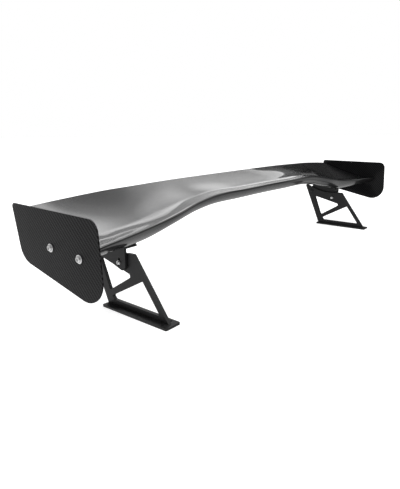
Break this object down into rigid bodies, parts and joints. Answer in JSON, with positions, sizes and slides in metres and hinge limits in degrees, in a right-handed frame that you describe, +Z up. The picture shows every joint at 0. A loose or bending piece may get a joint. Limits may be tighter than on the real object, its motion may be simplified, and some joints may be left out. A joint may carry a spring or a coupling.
{
  "type": "racing rear wing",
  "caption": "Carbon racing rear wing with side plates, on two cut-out pedestals; a clamp bolt in an arc slot sets its angle of attack.",
  "frame": {"origin": "on the mounting face plane, under the middle of the whole part", "axes": "+X to the car's left along the span, +Y to the car's rear, +Z up"},
  "size_m": [1.7132, 0.3162, 0.2997],
  "materials": {
    "carbon": "glossy clear-coated carbon twill",
    "carbon_plate": "glossy carbon plate with a visible twill weave",
    "black_aluminium": "satin black anodised",
    "steel": "bright stainless",
    "black_steel": "black oxide",
    "core": "rigid foam",
    "rubber_pad": "matt"
  },
  "bodies": {
    "pedestals": {"upright_left": "black_aluminium", "upright_right": "black_aluminium", "base_plate_left": "black_aluminium", "base_plate_right": "black_aluminium", "base_screws": "black_steel", "pivot_bolts": "black_steel", "pivot_washers": "black_steel", "pivot_nuts": "black_steel", "spacer_washers": "rubber_pad", "clamp_bolts": "steel", "clamp_washers": "steel", "clamp_nuts": "steel"},
    "wing": {"airfoil_upper_skin": "carbon", "airfoil_lower_skin": "carbon", "main_spar": "carbon", "end_rib_left": "core", "end_rib_right": "core", "hardpoint_left": "core", "hardpoint_right": "core", "bracket_inserts": "steel", "endplate_inserts": "steel", "endplate_left": "carbon_plate", "endplate_right": "carbon_plate", "endplate_washers": "steel", "endplate_bolts": "steel", "bracket_left": "black_aluminium", "bracket_right": "black_aluminium", "bracket_pad_left": "rubber_pad", "bracket_pad_right": "rubber_pad", "bracket_screws": "black_steel"}
  },
  "joints": [
    {"name": "angle_of_attack", "type": "hinge", "parent": "pedestals", "child": "wing", "pos_m": [0, 0.12425, 0.156], "axis": [1, 0, 0], "range_deg": [-4, 5]}
  ]
}
